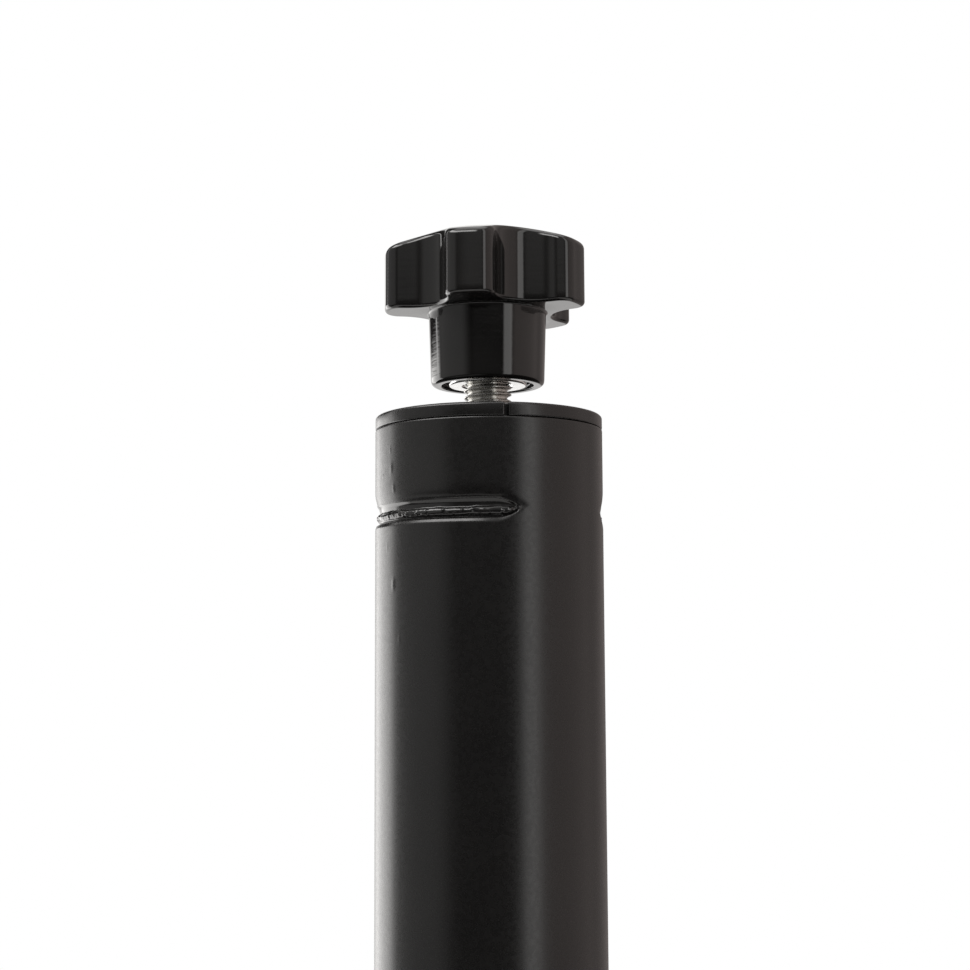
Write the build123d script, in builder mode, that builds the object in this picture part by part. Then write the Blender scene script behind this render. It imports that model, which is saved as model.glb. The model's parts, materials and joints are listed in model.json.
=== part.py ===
"""Telescopic door security bar: a black steel brace with a star knob on its upper end and a hinged foot.

Frame: +Z up along the bar, origin on the floor at the middle of the rubber sole.
The front of the bar is -Y, its right-hand side is +X. All sizes are in millimetres.
"""

import os
from math import cos, radians, sin, sqrt

from build123d import *

# ---------------------------------------------------------------- driving sizes

# Outer tube and what closes its upper end
outer_od = 57.0
outer_wall = 2.0
outer_length = 580.0
tube_edge_break = 0.3          # small radius on the tube's cut ends
ring_height = 3.4              # rolled band on the tube's mouth
ring_edge_radius = 0.8
ring_seam_gap = 0.9            # where the rolled band's two ends meet
ring_seam_angle = 8.5          # from the front, towards +X

# Plug-weld slots, which hold the nut plate inside the tube
slot_drop = 21.6               # from the tube's upper end to the slot's middle
slot_height = 5.2
slot_start = -195.0            # angle from +X where the first slot begins
slot_arc = 120.0
slot_count = 2
weld_sink = 0.6                # how far the weld lies below the tube's surface
nut_plate_thickness = 5.0
nut_af = 19.0
nut_height = 10.0

# Star knobs (the same moulding is used twice)
stud_d = 12.0
stud_offset_x = -0.2           # the nut sits this far off the tube's axis
keeper_gap = 8.1               # from the band's rim to the knob's boss
boss_height = 18.6
boss_d_low = 28.6
boss_d_top = 29.8
boss_edge_radius = 1.2
head_d = 52.0
head_height = 15.7             # of the head's side, below its crowned top
dome_r = 70.0                  # sphere of the crowned top
head_edge_radius = 1.4
head_under_radius = 1.1
boss_root_radius = 0.5
lobe_count = 5
lobe_angle = -101.0            # direction of one lobe, from +X
flute_floor_r = 17.2           # least radius, in the middle of a flute
flute_half_angle = 21.0        # a flute meets the head's circle this far from its middle
lobe_corner_radius = 4.0
insert_d = 19.8
insert_length = 22.0
insert_bore_depth = 18.0
insert_ring_width = 1.7        # open ring round the insert's end
insert_ring_depth = 1.5
stud_end_gap = 1.0             # from the stud's end to the bottom of the insert's bore
stud_tail = 10.0               # thread that shows below the weld nut

# Inner tube, its slide ring and the guide bush
inner_od = 50.0
inner_wall = 2.0
top_clearance = 24.0           # from the slide ring's top to the stud's tail
slide_ring_height = 12.0
slide_ring_spigot = 20.0
slide_ring_wall = 3.0
bush_length = 44.0
bush_flange = 3.0
bush_slit = 3.0

# Length clamp on the +X side
clamp_height = 24.0            # above the outer tube's lower end
clamp_boss_d = 24.0
clamp_boss_length = 10.0
clamp_knob_gap = 4.0           # from the boss to the knob when the clamp is tight
clamp_lobe_angle = 18.0
pad_d = 11.2
pad_length = 3.0

# Foot
sole_width = 90.0
sole_length = 120.0
sole_height = 10.0
sole_corner = 14.0
sole_bevel = 2.0
tread_depth = 2.0
tread_width = 3.0
tread_pitch = 16.0
tread_count = 6
bracket_margin = 6.0           # sole that shows round the bracket's plate
plate_thickness = 4.0
ear_gap = 32.0
ear_thickness = 5.0
ear_radius = 15.0
ear_base = 50.0
ear_root_radius = 2.5
pivot_rise = 30.0              # from the plate's top to the pivot's axis
tongue_radius = 14.0
tongue_reach = 21.0            # from the pivot's axis to the inner tube's end
plug_thickness = 6.0
collapsed_gap = 34.0           # from the inner tube's end to the guide bush
washer_thickness = 1.5
washer_d = 24.0
pivot_d = 10.0
pivot_af = 16.0
pivot_head_height = 6.4
pivot_nut_height = 8.0
pivot_thread_end = 3.0
pivot_bush_d = 14.0
screw_d = 6.0
screw_head_d = 11.0
screw_head_height = 3.6
screw_socket_af = 4.0
screw_socket_depth = 2.0
screw_depth = 7.0
screw_inset = 9.0              # from the plate's edge to the screw's axis

# Clearances
running = 0.05                 # radial, a shaft that turns or slides in its hole
free = 0.3                     # radial, a bolt that passes through a hole
hole_margin = 0.4              # radial, the clamp screw's way through tube and bush

# ---------------------------------------------------------------- derived places

outer_r = outer_od / 2
bore_r = outer_r - outer_wall
inner_r = inner_od / 2
inner_bore_r = inner_r - inner_wall

plate_bottom_z = sole_height
plate_top_z = plate_bottom_z + plate_thickness
pivot_z = plate_top_z + pivot_rise
inner_bottom_z = pivot_z + tongue_reach
flange_bottom_z = inner_bottom_z + collapsed_gap
outer_bottom_z = flange_bottom_z + bush_flange
outer_top_z = outer_bottom_z + outer_length
ring_top_z = outer_top_z + ring_height
slot_z = outer_top_z - slot_drop
nut_plate_top_z = slot_z + nut_plate_thickness / 2
nut_plate_bottom_z = slot_z - nut_plate_thickness / 2
nut_bottom_z = nut_plate_bottom_z - nut_height
stud_bottom_z = nut_bottom_z - stud_tail
boss_bottom_z = ring_top_z + keeper_gap
inner_top_z = stud_bottom_z - top_clearance - slide_ring_height
dome_drop = sqrt(dome_r**2 - (head_d / 2) ** 2)
dome_rise = dome_r - dome_drop
dome_centre = boss_height + head_height - dome_drop
clamp_z = outer_bottom_z + clamp_height
clamp_face_x = outer_r + clamp_boss_length
clamp_seat_x = clamp_face_x + clamp_knob_gap
pad_tip_x = inner_r + running
stud_hole_r = stud_d / 2 + running
stud_reach = insert_bore_depth - stud_end_gap
ear_outer_x = ear_gap / 2 + ear_thickness
tongue_half = ear_gap / 2 - washer_thickness - running

knob_seat = Plane(origin=(stud_offset_x, 0, boss_bottom_z), x_dir=(1, 0, 0), z_dir=(0, 0, 1))
clamp_seat = Plane(origin=(clamp_seat_x, 0, clamp_z), x_dir=(0, 1, 0), z_dir=(1, 0, 0))


# ---------------------------------------------------------------- shared shapes

def height_over(plane, shape):
    """Height of a face's or edge's middle over a plane."""
    return plane.to_local_coords(shape.center()).Z


def off_axis(plane, shape):
    """Distance of a face's or edge's middle from the axis through a plane's origin."""
    middle = plane.to_local_coords(shape.center())
    return sqrt(middle.X**2 + middle.Y**2)


def faces_at(part, plane, height):
    """Flat faces that lie in the given plane, raised by height."""
    flat = part.faces().filter_by(GeomType.PLANE)
    level = flat.filter_by(lambda face: abs(height_over(plane, face) - height) < 0.001)
    return level.filter_by(lambda face: abs(face.normal_at().dot(plane.z_dir)) > 0.999)


def star_knob(seat, first_lobe):
    """Moulded knob: a tapered boss on the seat plane, and a lobed head above it."""
    head_r = head_d / 2
    rim_x = head_r * cos(radians(flute_half_angle))
    rim_y = head_r * sin(radians(flute_half_angle))
    # circle through the flute's floor and through both points where it meets the head's circle
    flute_centre = (rim_x**2 + rim_y**2 - flute_floor_r**2) / (2 * (rim_x - flute_floor_r))
    flute_r = flute_centre - flute_floor_r
    half_pitch = 180 / lobe_count
    with BuildPart() as knob:
        with BuildSketch(seat):
            Circle(boss_d_low / 2)
        with BuildSketch(seat.offset(boss_height)):
            Circle(boss_d_top / 2)
        loft()
        with BuildSketch(seat.offset(boss_height)) as plan:
            Circle(head_r)
            with PolarLocations(flute_centre, lobe_count, start_angle=first_lobe + half_pitch):
                Circle(flute_r, mode=Mode.SUBTRACT)
            fillet(plan.vertices(), lobe_corner_radius)
        extrude(amount=head_height + dome_rise)
        with Locations(seat.offset(dome_centre)):
            Sphere(dome_r, mode=Mode.INTERSECT)
        crown_edges = knob.faces().filter_by(GeomType.SPHERE).edges()
        rim_edges = crown_edges.filter_by(lambda edge: off_axis(seat, edge) > boss_d_top / 2)
        fillet(rim_edges, head_edge_radius)
        under_edges = faces_at(knob, seat, boss_height).edges().sort_by(SortBy.LENGTH)
        fillet(under_edges[:-1], head_under_radius)
        root_edge = faces_at(knob, seat, boss_height).edges().sort_by(SortBy.LENGTH)[-1]
        fillet(root_edge, boss_root_radius)
        fillet(faces_at(knob, seat, 0).edges(), boss_edge_radius)
        with BuildSketch(seat):
            Circle(insert_d / 2 + insert_ring_width)
        extrude(amount=insert_ring_depth, mode=Mode.SUBTRACT)
        with BuildSketch(seat):
            Circle(insert_d / 2)
        extrude(amount=insert_length, mode=Mode.SUBTRACT)
    return knob.part


def threaded_insert(seat):
    """Steel insert moulded in the boss, with a blind bore for the stud."""
    with BuildPart() as insert:
        with BuildSketch(seat):
            Circle(insert_d / 2)
        extrude(amount=insert_length)
        chamfer(faces_at(insert, seat, 0).edges(), 0.4)
        with BuildSketch(seat):
            Circle(stud_hole_r)
        extrude(amount=insert_bore_depth, mode=Mode.SUBTRACT)
        bore_rim = faces_at(insert, seat, 0).edges().sort_by(SortBy.RADIUS)[0]
        chamfer(bore_rim, 0.6)
    return insert.part


def stud(seat, length):
    """Threaded stud as its outer cylinder, from inside the insert down to its tail."""
    with BuildPart() as rod:
        with BuildSketch(seat.offset(stud_reach)):
            Circle(stud_d / 2)
        extrude(amount=-length)
        chamfer(rod.edges(), 0.8)
    return rod.part


def slot_blanks(low_r, high_r):
    """Curved bars with round ends that fill the plug-weld slots between two radii."""
    with BuildPart() as blanks:
        for index in range(slot_count):
            turn = radians(slot_start + index * 360 / slot_count)
            radial = (cos(turn), sin(turn), 0)
            across = (sin(turn), -cos(turn), 0)
            section = Plane(origin=(0, 0, slot_z), x_dir=radial, z_dir=across)
            with BuildSketch(section):
                with Locations(((low_r + high_r) / 2, 0)):
                    Rectangle(high_r - low_r, slot_height)
            revolve(axis=Axis.Z, revolution_arc=slot_arc)
        lines = blanks.edges().filter_by(GeomType.LINE)
        ends = lines.filter_by(lambda edge: abs(edge.length - (high_r - low_r)) < 0.001)
        fillet(ends, slot_height / 2 - 0.1)
    return blanks.part


def hexagon(across_flats):
    """Hexagon sketch object for nuts and bolt heads."""
    RegularPolygon(across_flats / 2, 6, major_radius=False)


# ---------------------------------------------------------------- outer tube

slot_cutters = slot_blanks(bore_r - 1, outer_r + 1)

with BuildPart() as outer_tube:
    with BuildSketch(Plane.XY.offset(outer_bottom_z)):
        Circle(outer_r)
        Circle(bore_r, mode=Mode.SUBTRACT)
    extrude(amount=outer_length)
    fillet(outer_tube.edges().filter_by(GeomType.CIRCLE), tube_edge_break)
    add(slot_cutters, mode=Mode.SUBTRACT)
    with BuildSketch(Plane.YZ):
        with Locations((0, clamp_z)):
            Circle(stud_d / 2 + hole_margin)
    extrude(amount=outer_od, mode=Mode.SUBTRACT)
outer_tube.part.label = "outer_tube"

with BuildPart() as end_ring:
    seam_turn = radians(ring_seam_angle - 90)
    with BuildSketch(Plane.XY.offset(outer_top_z)):
        Circle(outer_r)
        Circle(bore_r, mode=Mode.SUBTRACT)
    extrude(amount=ring_height)
    rims = end_ring.edges().filter_by(GeomType.CIRCLE).sort_by(SortBy.RADIUS)[-2:]
    fillet(rims.sort_by(Axis.Z)[-1], ring_edge_radius)
    rims = end_ring.edges().filter_by(GeomType.CIRCLE).sort_by(SortBy.RADIUS)
    chamfer(rims[-1], tube_edge_break)
    with BuildSketch(Plane.XY.offset(outer_top_z)):
        seam_x = outer_r * cos(seam_turn)
        seam_y = outer_r * sin(seam_turn)
        with Locations(Location((seam_x, seam_y), ring_seam_angle - 90)):
            Rectangle(3 * outer_wall, ring_seam_gap)
    extrude(amount=ring_height, mode=Mode.SUBTRACT)
end_ring.part.label = "end_ring"

with BuildPart() as end_plate:
    with BuildSketch(Plane.XY.offset(outer_top_z)):
        Circle(bore_r)
        with Locations((stud_offset_x, 0)):
            Circle(stud_d / 2 + free, mode=Mode.SUBTRACT)
    extrude(amount=ring_height)
    chamfer(faces_at(end_plate, Plane.XY, ring_top_z).edges(), 0.4)
end_plate.part.label = "end_plate"

with BuildPart() as nut_plate:
    with BuildSketch(Plane.XY.offset(nut_plate_bottom_z)):
        Circle(bore_r)
        with Locations((stud_offset_x, 0)):
            Circle(stud_d / 2 + free, mode=Mode.SUBTRACT)
    extrude(amount=nut_plate_thickness)
nut_plate.part.label = "nut_plate"

with BuildPart() as weld_nut:
    with BuildSketch(Plane.XY.offset(nut_bottom_z)):
        with Locations((stud_offset_x, 0)):
            hexagon(nut_af)
            Circle(stud_hole_r, mode=Mode.SUBTRACT)
    extrude(amount=nut_height)
    chamfer(faces_at(weld_nut, Plane.XY, nut_bottom_z).edges().filter_by(GeomType.LINE), 0.8)
weld_nut.part.label = "weld_nut"

plug_welds = slot_blanks(bore_r, outer_r - weld_sink)
plug_welds.label = "plug_welds"

with BuildPart() as guide_bush:
    with BuildSketch(Plane.XY.offset(flange_bottom_z)):
        Circle(outer_r)
    extrude(amount=bush_flange)
    chamfer(faces_at(guide_bush, Plane.XY, flange_bottom_z).edges(), 0.8)
    with BuildSketch(Plane.XY.offset(outer_bottom_z)):
        Circle(bore_r)
    extrude(amount=bush_length)
    with BuildSketch(Plane.XY.offset(flange_bottom_z)):
        Circle(inner_r + running)
        with Locations((-bore_r, 0)):
            Rectangle(4 * (bore_r - inner_r + outer_wall), bush_slit)
    extrude(amount=bush_flange + bush_length, mode=Mode.SUBTRACT)
    with BuildSketch(Plane.YZ):
        with Locations((0, clamp_z)):
            Circle(stud_d / 2 + hole_margin)
    extrude(amount=outer_od, mode=Mode.SUBTRACT)
guide_bush.part.label = "guide_bush"

with BuildPart() as clamp_boss:
    with BuildSketch(Plane.YZ.offset(inner_r)):
        with Locations((0, clamp_z)):
            Circle(clamp_boss_d / 2)
    extrude(amount=clamp_face_x - inner_r)
    chamfer(clamp_boss.edges().sort_by(Axis.X)[-1], 1.0)
    with BuildSketch(Plane.XY.offset(clamp_z - clamp_boss_d)):
        Circle(outer_r)
    extrude(amount=2 * clamp_boss_d, mode=Mode.SUBTRACT)
    with BuildSketch(Plane.YZ.offset(inner_r)):
        with Locations((0, clamp_z)):
            Circle(stud_hole_r)
    extrude(amount=clamp_face_x - inner_r, mode=Mode.SUBTRACT)
clamp_boss.part.label = "clamp_boss"

# ---------------------------------------------------------------- top knob

knob_body = star_knob(knob_seat, lobe_angle)
knob_body.label = "knob_body"

knob_insert = threaded_insert(knob_seat)
knob_insert.label = "knob_insert"

knob_stud = stud(knob_seat, boss_bottom_z + stud_reach - stud_bottom_z)
knob_stud.label = "knob_stud"

# ---------------------------------------------------------------- clamp knob

clamp_knob_body = star_knob(clamp_seat, clamp_lobe_angle)
clamp_knob_body.label = "clamp_knob_body"

clamp_knob_insert = threaded_insert(clamp_seat)
clamp_knob_insert.label = "clamp_knob_insert"

clamp_stud = stud(clamp_seat, clamp_seat_x + stud_reach - pad_tip_x - pad_length)
clamp_stud.label = "clamp_stud"

with BuildPart() as clamp_pad:
    with BuildSketch(Plane.YZ.offset(pad_tip_x)):
        with Locations((0, clamp_z)):
            Circle(pad_d / 2)
    extrude(amount=pad_length)
    chamfer(clamp_pad.edges().sort_by(Axis.X)[0], 0.5)
clamp_pad.part.label = "clamp_pad"

# ---------------------------------------------------------------- inner tube

with BuildPart() as inner_tube:
    with BuildSketch(Plane.XY.offset(inner_bottom_z)):
        Circle(inner_r)
        Circle(inner_bore_r, mode=Mode.SUBTRACT)
    extrude(amount=inner_top_z - inner_bottom_z)
    fillet(inner_tube.edges().filter_by(GeomType.CIRCLE), tube_edge_break)
inner_tube.part.label = "inner_tube"

with BuildPart() as slide_ring:
    with BuildSketch(Plane.XY.offset(inner_top_z)):
        Circle(bore_r - running)
    extrude(amount=slide_ring_height)
    chamfer(slide_ring.edges(), 0.8)
    with BuildSketch(Plane.XY.offset(inner_top_z - slide_ring_spigot)):
        Circle(inner_bore_r)
    extrude(amount=slide_ring_spigot)
    with BuildSketch(Plane.XY.offset(inner_top_z - slide_ring_spigot)):
        Circle(inner_bore_r - slide_ring_wall)
    extrude(amount=slide_ring_spigot + slide_ring_height, mode=Mode.SUBTRACT)
slide_ring.part.label = "slide_ring"

with BuildPart() as tube_plug:
    with BuildSketch(Plane.XY.offset(inner_bottom_z)):
        Circle(inner_bore_r)
    extrude(amount=plug_thickness)
tube_plug.part.label = "tube_plug"

with BuildPart() as foot_tongue:
    with BuildSketch(Plane.YZ.offset(-tongue_half)):
        with Locations((0, pivot_z)):
            Circle(tongue_radius)
        with Locations((0, inner_bottom_z - 0.5)):
            Rectangle(2 * tongue_radius, 1)
        make_hull()
        with Locations((0, pivot_z)):
            Circle(pivot_bush_d / 2, mode=Mode.SUBTRACT)
    extrude(amount=2 * tongue_half)
foot_tongue.part.label = "foot_tongue"

with BuildPart() as pivot_bush:
    with BuildSketch(Plane.YZ.offset(-tongue_half)):
        with Locations((0, pivot_z)):
            Circle(pivot_bush_d / 2)
            Circle(pivot_d / 2 + running, mode=Mode.SUBTRACT)
    extrude(amount=2 * tongue_half)
pivot_bush.part.label = "pivot_bush"

# ---------------------------------------------------------------- foot

plate_width = sole_width - 2 * bracket_margin
plate_length = sole_length - 2 * bracket_margin
screw_spacing_x = plate_width - 2 * screw_inset
screw_spacing_y = plate_length - 2 * screw_inset

with BuildPart() as foot_sole:
    with BuildSketch():
        RectangleRounded(sole_width, sole_length, sole_corner)
    extrude(amount=sole_height)
    chamfer(faces_at(foot_sole, Plane.XY, sole_height).edges(), sole_bevel)
    with BuildSketch():
        with GridLocations(0, tread_pitch, 1, tread_count):
            Rectangle(sole_width, tread_width)
    extrude(amount=tread_depth, mode=Mode.SUBTRACT)
    with BuildSketch(Plane.XY.offset(sole_height)):
        with GridLocations(screw_spacing_x, screw_spacing_y, 2, 2):
            Circle(screw_d / 2)
    extrude(amount=-screw_depth, mode=Mode.SUBTRACT)
foot_sole.part.label = "foot_sole"

with BuildPart() as foot_bracket:
    with BuildSketch(Plane.XY.offset(plate_bottom_z)):
        RectangleRounded(plate_width, plate_length, sole_corner - bracket_margin)
        with GridLocations(screw_spacing_x, screw_spacing_y, 2, 2):
            Circle(screw_d / 2 + free, mode=Mode.SUBTRACT)
    extrude(amount=plate_thickness)
    with BuildSketch(Plane.YZ.offset(ear_gap / 2)):
        with Locations((0, pivot_z)):
            Circle(ear_radius)
        with Locations((0, plate_bottom_z + plate_thickness / 2)):
            Rectangle(ear_base, plate_thickness)
        make_hull()
        with Locations((0, pivot_z)):
            Circle(pivot_d / 2 + free, mode=Mode.SUBTRACT)
    extrude(amount=ear_thickness)
    mirror(about=Plane.YZ)
    long_edges = foot_bracket.edges().filter_by(Axis.Y)
    level_edges = long_edges.filter_by(lambda edge: abs(edge.center().Z - plate_top_z) < 0.001)
    fillet(level_edges.filter_by(lambda edge: abs(edge.center().X) < ear_outer_x + 1), ear_root_radius)
foot_bracket.part.label = "foot_bracket"

with BuildPart() as sole_screws:
    with BuildSketch(Plane.XY.offset(plate_top_z)):
        with GridLocations(screw_spacing_x, screw_spacing_y, 2, 2):
            Circle(screw_head_d / 2)
    extrude(amount=screw_head_height)
    fillet(faces_at(sole_screws, Plane.XY, plate_top_z + screw_head_height).edges(), 1.4)
    with BuildSketch(Plane.XY.offset(plate_bottom_z - screw_depth)):
        with GridLocations(screw_spacing_x, screw_spacing_y, 2, 2):
            Circle(screw_d / 2)
    extrude(amount=screw_depth + plate_thickness)
    with BuildSketch(Plane.XY.offset(plate_top_z + screw_head_height)):
        with GridLocations(screw_spacing_x, screw_spacing_y, 2, 2):
            hexagon(screw_socket_af)
    extrude(amount=-screw_socket_depth, mode=Mode.SUBTRACT)
sole_screws.part.label = "sole_screws"

with BuildPart() as pivot_washers:
    with BuildSketch(Plane.YZ.offset(ear_gap / 2 - washer_thickness)):
        with Locations((0, pivot_z)):
            Circle(washer_d / 2)
            Circle(pivot_d / 2 + free, mode=Mode.SUBTRACT)
    extrude(amount=washer_thickness)
    mirror(about=Plane.YZ)
pivot_washers.part.label = "pivot_washers"

with BuildPart() as pivot_bolt:
    bolt_end_x = ear_outer_x + pivot_nut_height + pivot_thread_end
    with BuildSketch(Plane.YZ.offset(-bolt_end_x)):
        with Locations((0, pivot_z)):
            Circle(pivot_d / 2)
    extrude(amount=bolt_end_x + ear_outer_x)
    chamfer(pivot_bolt.edges().sort_by(Axis.X)[0], 0.8)
    with BuildSketch(Plane.YZ.offset(ear_outer_x)):
        with Locations((0, pivot_z)):
            hexagon(pivot_af)
    extrude(amount=pivot_head_height)
    chamfer(faces_at(pivot_bolt, Plane.YZ, ear_outer_x + pivot_head_height).edges(), 0.6)
pivot_bolt.part.label = "pivot_bolt"

with BuildPart() as pivot_nut:
    with BuildSketch(Plane.YZ.offset(-ear_outer_x - pivot_nut_height)):
        with Locations((0, pivot_z)):
            hexagon(pivot_af)
            Circle(pivot_d / 2, mode=Mode.SUBTRACT)
    extrude(amount=pivot_nut_height)
    nut_face = faces_at(pivot_nut, Plane.YZ, -ear_outer_x - pivot_nut_height)
    chamfer(nut_face.edges().filter_by(GeomType.LINE), 0.6)
pivot_nut.part.label = "pivot_nut"

# ---------------------------------------------------------------- output

pieces = [
    outer_tube.part,
    end_ring.part,
    end_plate.part,
    nut_plate.part,
    weld_nut.part,
    plug_welds,
    guide_bush.part,
    clamp_boss.part,
    knob_body,
    knob_insert,
    knob_stud,
    clamp_knob_body,
    clamp_knob_insert,
    clamp_stud,
    clamp_pad.part,
    inner_tube.part,
    slide_ring.part,
    tube_plug.part,
    foot_tongue.part,
    pivot_bush.part,
    foot_sole.part,
    foot_bracket.part,
    sole_screws.part,
    pivot_washers.part,
    pivot_bolt.part,
    pivot_nut.part,
]
os.makedirs("parts", exist_ok=True)
for piece in pieces:
    export_step(piece, f"parts/{piece.label}.step")
print("band rim z", ring_top_z, "knob seat z", boss_bottom_z, "pivot z", pivot_z, "clamp z", clamp_z)
print("knob top z", boss_bottom_z + boss_height + head_height + dome_rise, "inner top z", inner_top_z)
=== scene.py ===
"""Looks of the telescopic door security bar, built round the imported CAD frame.

Lengths are in metres. Sizes written in millimetres are multiplied by MM.
The front of the bar is -Y, its right-hand side is +X.
"""

import json
import math
import random

import bmesh
import bpy
import numpy as np
from mathutils import Matrix, Vector


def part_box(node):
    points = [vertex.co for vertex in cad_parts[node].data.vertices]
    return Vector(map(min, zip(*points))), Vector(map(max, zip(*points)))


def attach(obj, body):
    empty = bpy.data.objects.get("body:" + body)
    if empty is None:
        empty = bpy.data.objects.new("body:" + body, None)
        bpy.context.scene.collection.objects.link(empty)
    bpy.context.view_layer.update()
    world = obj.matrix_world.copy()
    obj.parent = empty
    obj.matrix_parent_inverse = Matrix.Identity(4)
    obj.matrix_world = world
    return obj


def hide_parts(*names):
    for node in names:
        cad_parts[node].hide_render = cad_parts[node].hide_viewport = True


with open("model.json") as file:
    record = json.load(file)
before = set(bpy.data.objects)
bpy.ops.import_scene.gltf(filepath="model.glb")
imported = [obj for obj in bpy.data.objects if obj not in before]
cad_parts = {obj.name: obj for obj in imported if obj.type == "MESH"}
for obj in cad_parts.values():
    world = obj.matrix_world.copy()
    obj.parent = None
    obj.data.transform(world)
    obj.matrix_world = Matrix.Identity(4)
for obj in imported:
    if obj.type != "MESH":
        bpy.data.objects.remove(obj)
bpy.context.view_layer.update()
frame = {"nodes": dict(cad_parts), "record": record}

MM = 0.001

# ------------------------------------------------------------------ places, from the frame

tube_low, tube_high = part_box("outer_tube")
ring_low, ring_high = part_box("end_ring")
weld_low, weld_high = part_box("plug_welds")
knob_low, knob_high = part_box("knob_body")
stud_low, stud_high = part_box("knob_stud")
clamp_knob_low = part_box("clamp_knob_body")[0]
clamp_stud_low, clamp_stud_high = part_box("clamp_stud")
boss_low, boss_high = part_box("clamp_boss")

TUBE_R = (tube_high.x - tube_low.x) / 2
STUD_X = (stud_low.x + stud_high.x) / 2
STUD_R = (stud_high.x - stud_low.x) / 2
SLOT_Z = (weld_low.z + weld_high.z) / 2
SLOT_H = weld_high.z - weld_low.z
CLAMP_Z = (boss_low.z + boss_high.z) / 2
CLAMP_BOSS_R = (boss_high.z - boss_low.z) / 2
KNOB_HEIGHT = knob_high.z - knob_low.z

# ------------------------------------------------------------------ sizes of the CAD part, repeated

TUBE_WALL = 2.0 * MM
SLOT_START = -195.0            # degrees from +X
SLOT_ARC = 120.0
SLOT_COUNT = 2
RING_SEAM_ANGLE = -81.5        # degrees from +X
RING_SEAM_GAP = 0.9 * MM
LOBES = 5
LOBE_ANGLE = -101.0
CLAMP_LOBE_ANGLE = 18.0
HEAD_R = 26.0 * MM
DOME_R = 70.0 * MM
FLUTE_FLOOR_R = 17.2 * MM
FLUTE_HALF_ANGLE = 21.0
LOBE_CORNER_R = 4.0 * MM
BOSS_HEIGHT = 18.6 * MM
BOSS_R_LOW = 14.3 * MM
BOSS_R_TOP = 14.9 * MM
BOSS_EDGE_R = 1.2 * MM
ROOT_R = 0.5 * MM
HEAD_TOP_R = 1.4 * MM
HEAD_UNDER_R = 1.1 * MM
INSERT_R = 9.9 * MM
INSERT_LENGTH = 22.0 * MM
INSERT_BORE = 18.0 * MM
INSERT_HOLE_R = 6.05 * MM
RECESS_R = 11.6 * MM
RECESS_DEPTH = 1.5 * MM
THREAD_PITCH = 1.75 * MM


# ------------------------------------------------------------------ mesh helpers

def make_object(name, verts, faces):
    """New smooth-shaded mesh object, its normals made consistent."""
    mesh = bpy.data.meshes.new(name)
    mesh.from_pydata([tuple(v) for v in verts], [], faces)
    work = bmesh.new()
    work.from_mesh(mesh)
    bmesh.ops.remove_doubles(work, verts=work.verts, dist=1e-7)
    bmesh.ops.dissolve_degenerate(work, edges=work.edges, dist=1e-8)
    bmesh.ops.recalc_face_normals(work, faces=work.faces)
    work.to_mesh(mesh)
    work.free()
    mesh.polygons.foreach_set("use_smooth", [True] * len(mesh.polygons))
    obj = bpy.data.objects.new(name, mesh)
    bpy.context.scene.collection.objects.link(obj)
    return obj


def skin(rings, caps=True):
    """Vertices and quads over a list of closed rings that have the same number of points."""
    count = len(rings[0])
    verts = [point for ring in rings for point in ring]
    faces = []
    for row in range(len(rings) - 1):
        this, above = row * count, (row + 1) * count
        for i in range(count):
            j = (i + 1) % count
            faces.append((this + i, this + j, above + j, above + i))
    if caps:
        for row in (0, len(rings) - 1):
            centre = sum((Vector(p) for p in rings[row]), Vector()) / count
            verts.append(centre)
            hub = len(verts) - 1
            for i in range(count):
                faces.append((row * count + i, row * count + (i + 1) % count, hub))
    return verts, faces


def lathe(name, profile, place):
    """Turned piece from (radius, height) points about the local Z axis of place."""
    segments = 128
    rings = []
    for radius, height in profile:
        turns = (2 * math.pi * i / segments for i in range(segments))
        rings.append([place @ Vector((radius * math.cos(t), radius * math.sin(t), height)) for t in turns])
    verts, faces = skin(rings)
    return make_object(name, verts, faces)


def arc_points(centre, radius, start, end, steps):
    """Points of a circular arc in a plane, angles in degrees."""
    points = []
    for i in range(steps + 1):
        turn = math.radians(start + (end - start) * i / steps)
        points.append((centre[0] + radius * math.cos(turn), centre[1] + radius * math.sin(turn)))
    return points


def smooth_step(value, low, high):
    """0 below low, 1 above high, and a smooth change between them (arrays allowed)."""
    t = np.clip((value - low) / (high - low), 0, 1)
    return t * t * (3 - 2 * t)


def wander(u, seed, longest):
    """Smooth random curve of about unit size, the sum of six sine waves."""
    rng = random.Random(seed)
    total = 0 * u
    for k in range(6):
        length = longest / (1 + 0.8 * k)
        total = total + np.sin(2 * math.pi * u / length + rng.uniform(0, 6.28)) / (1 + 0.6 * k)
    return total / 2


# ------------------------------------------------------------------ material helpers

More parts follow.
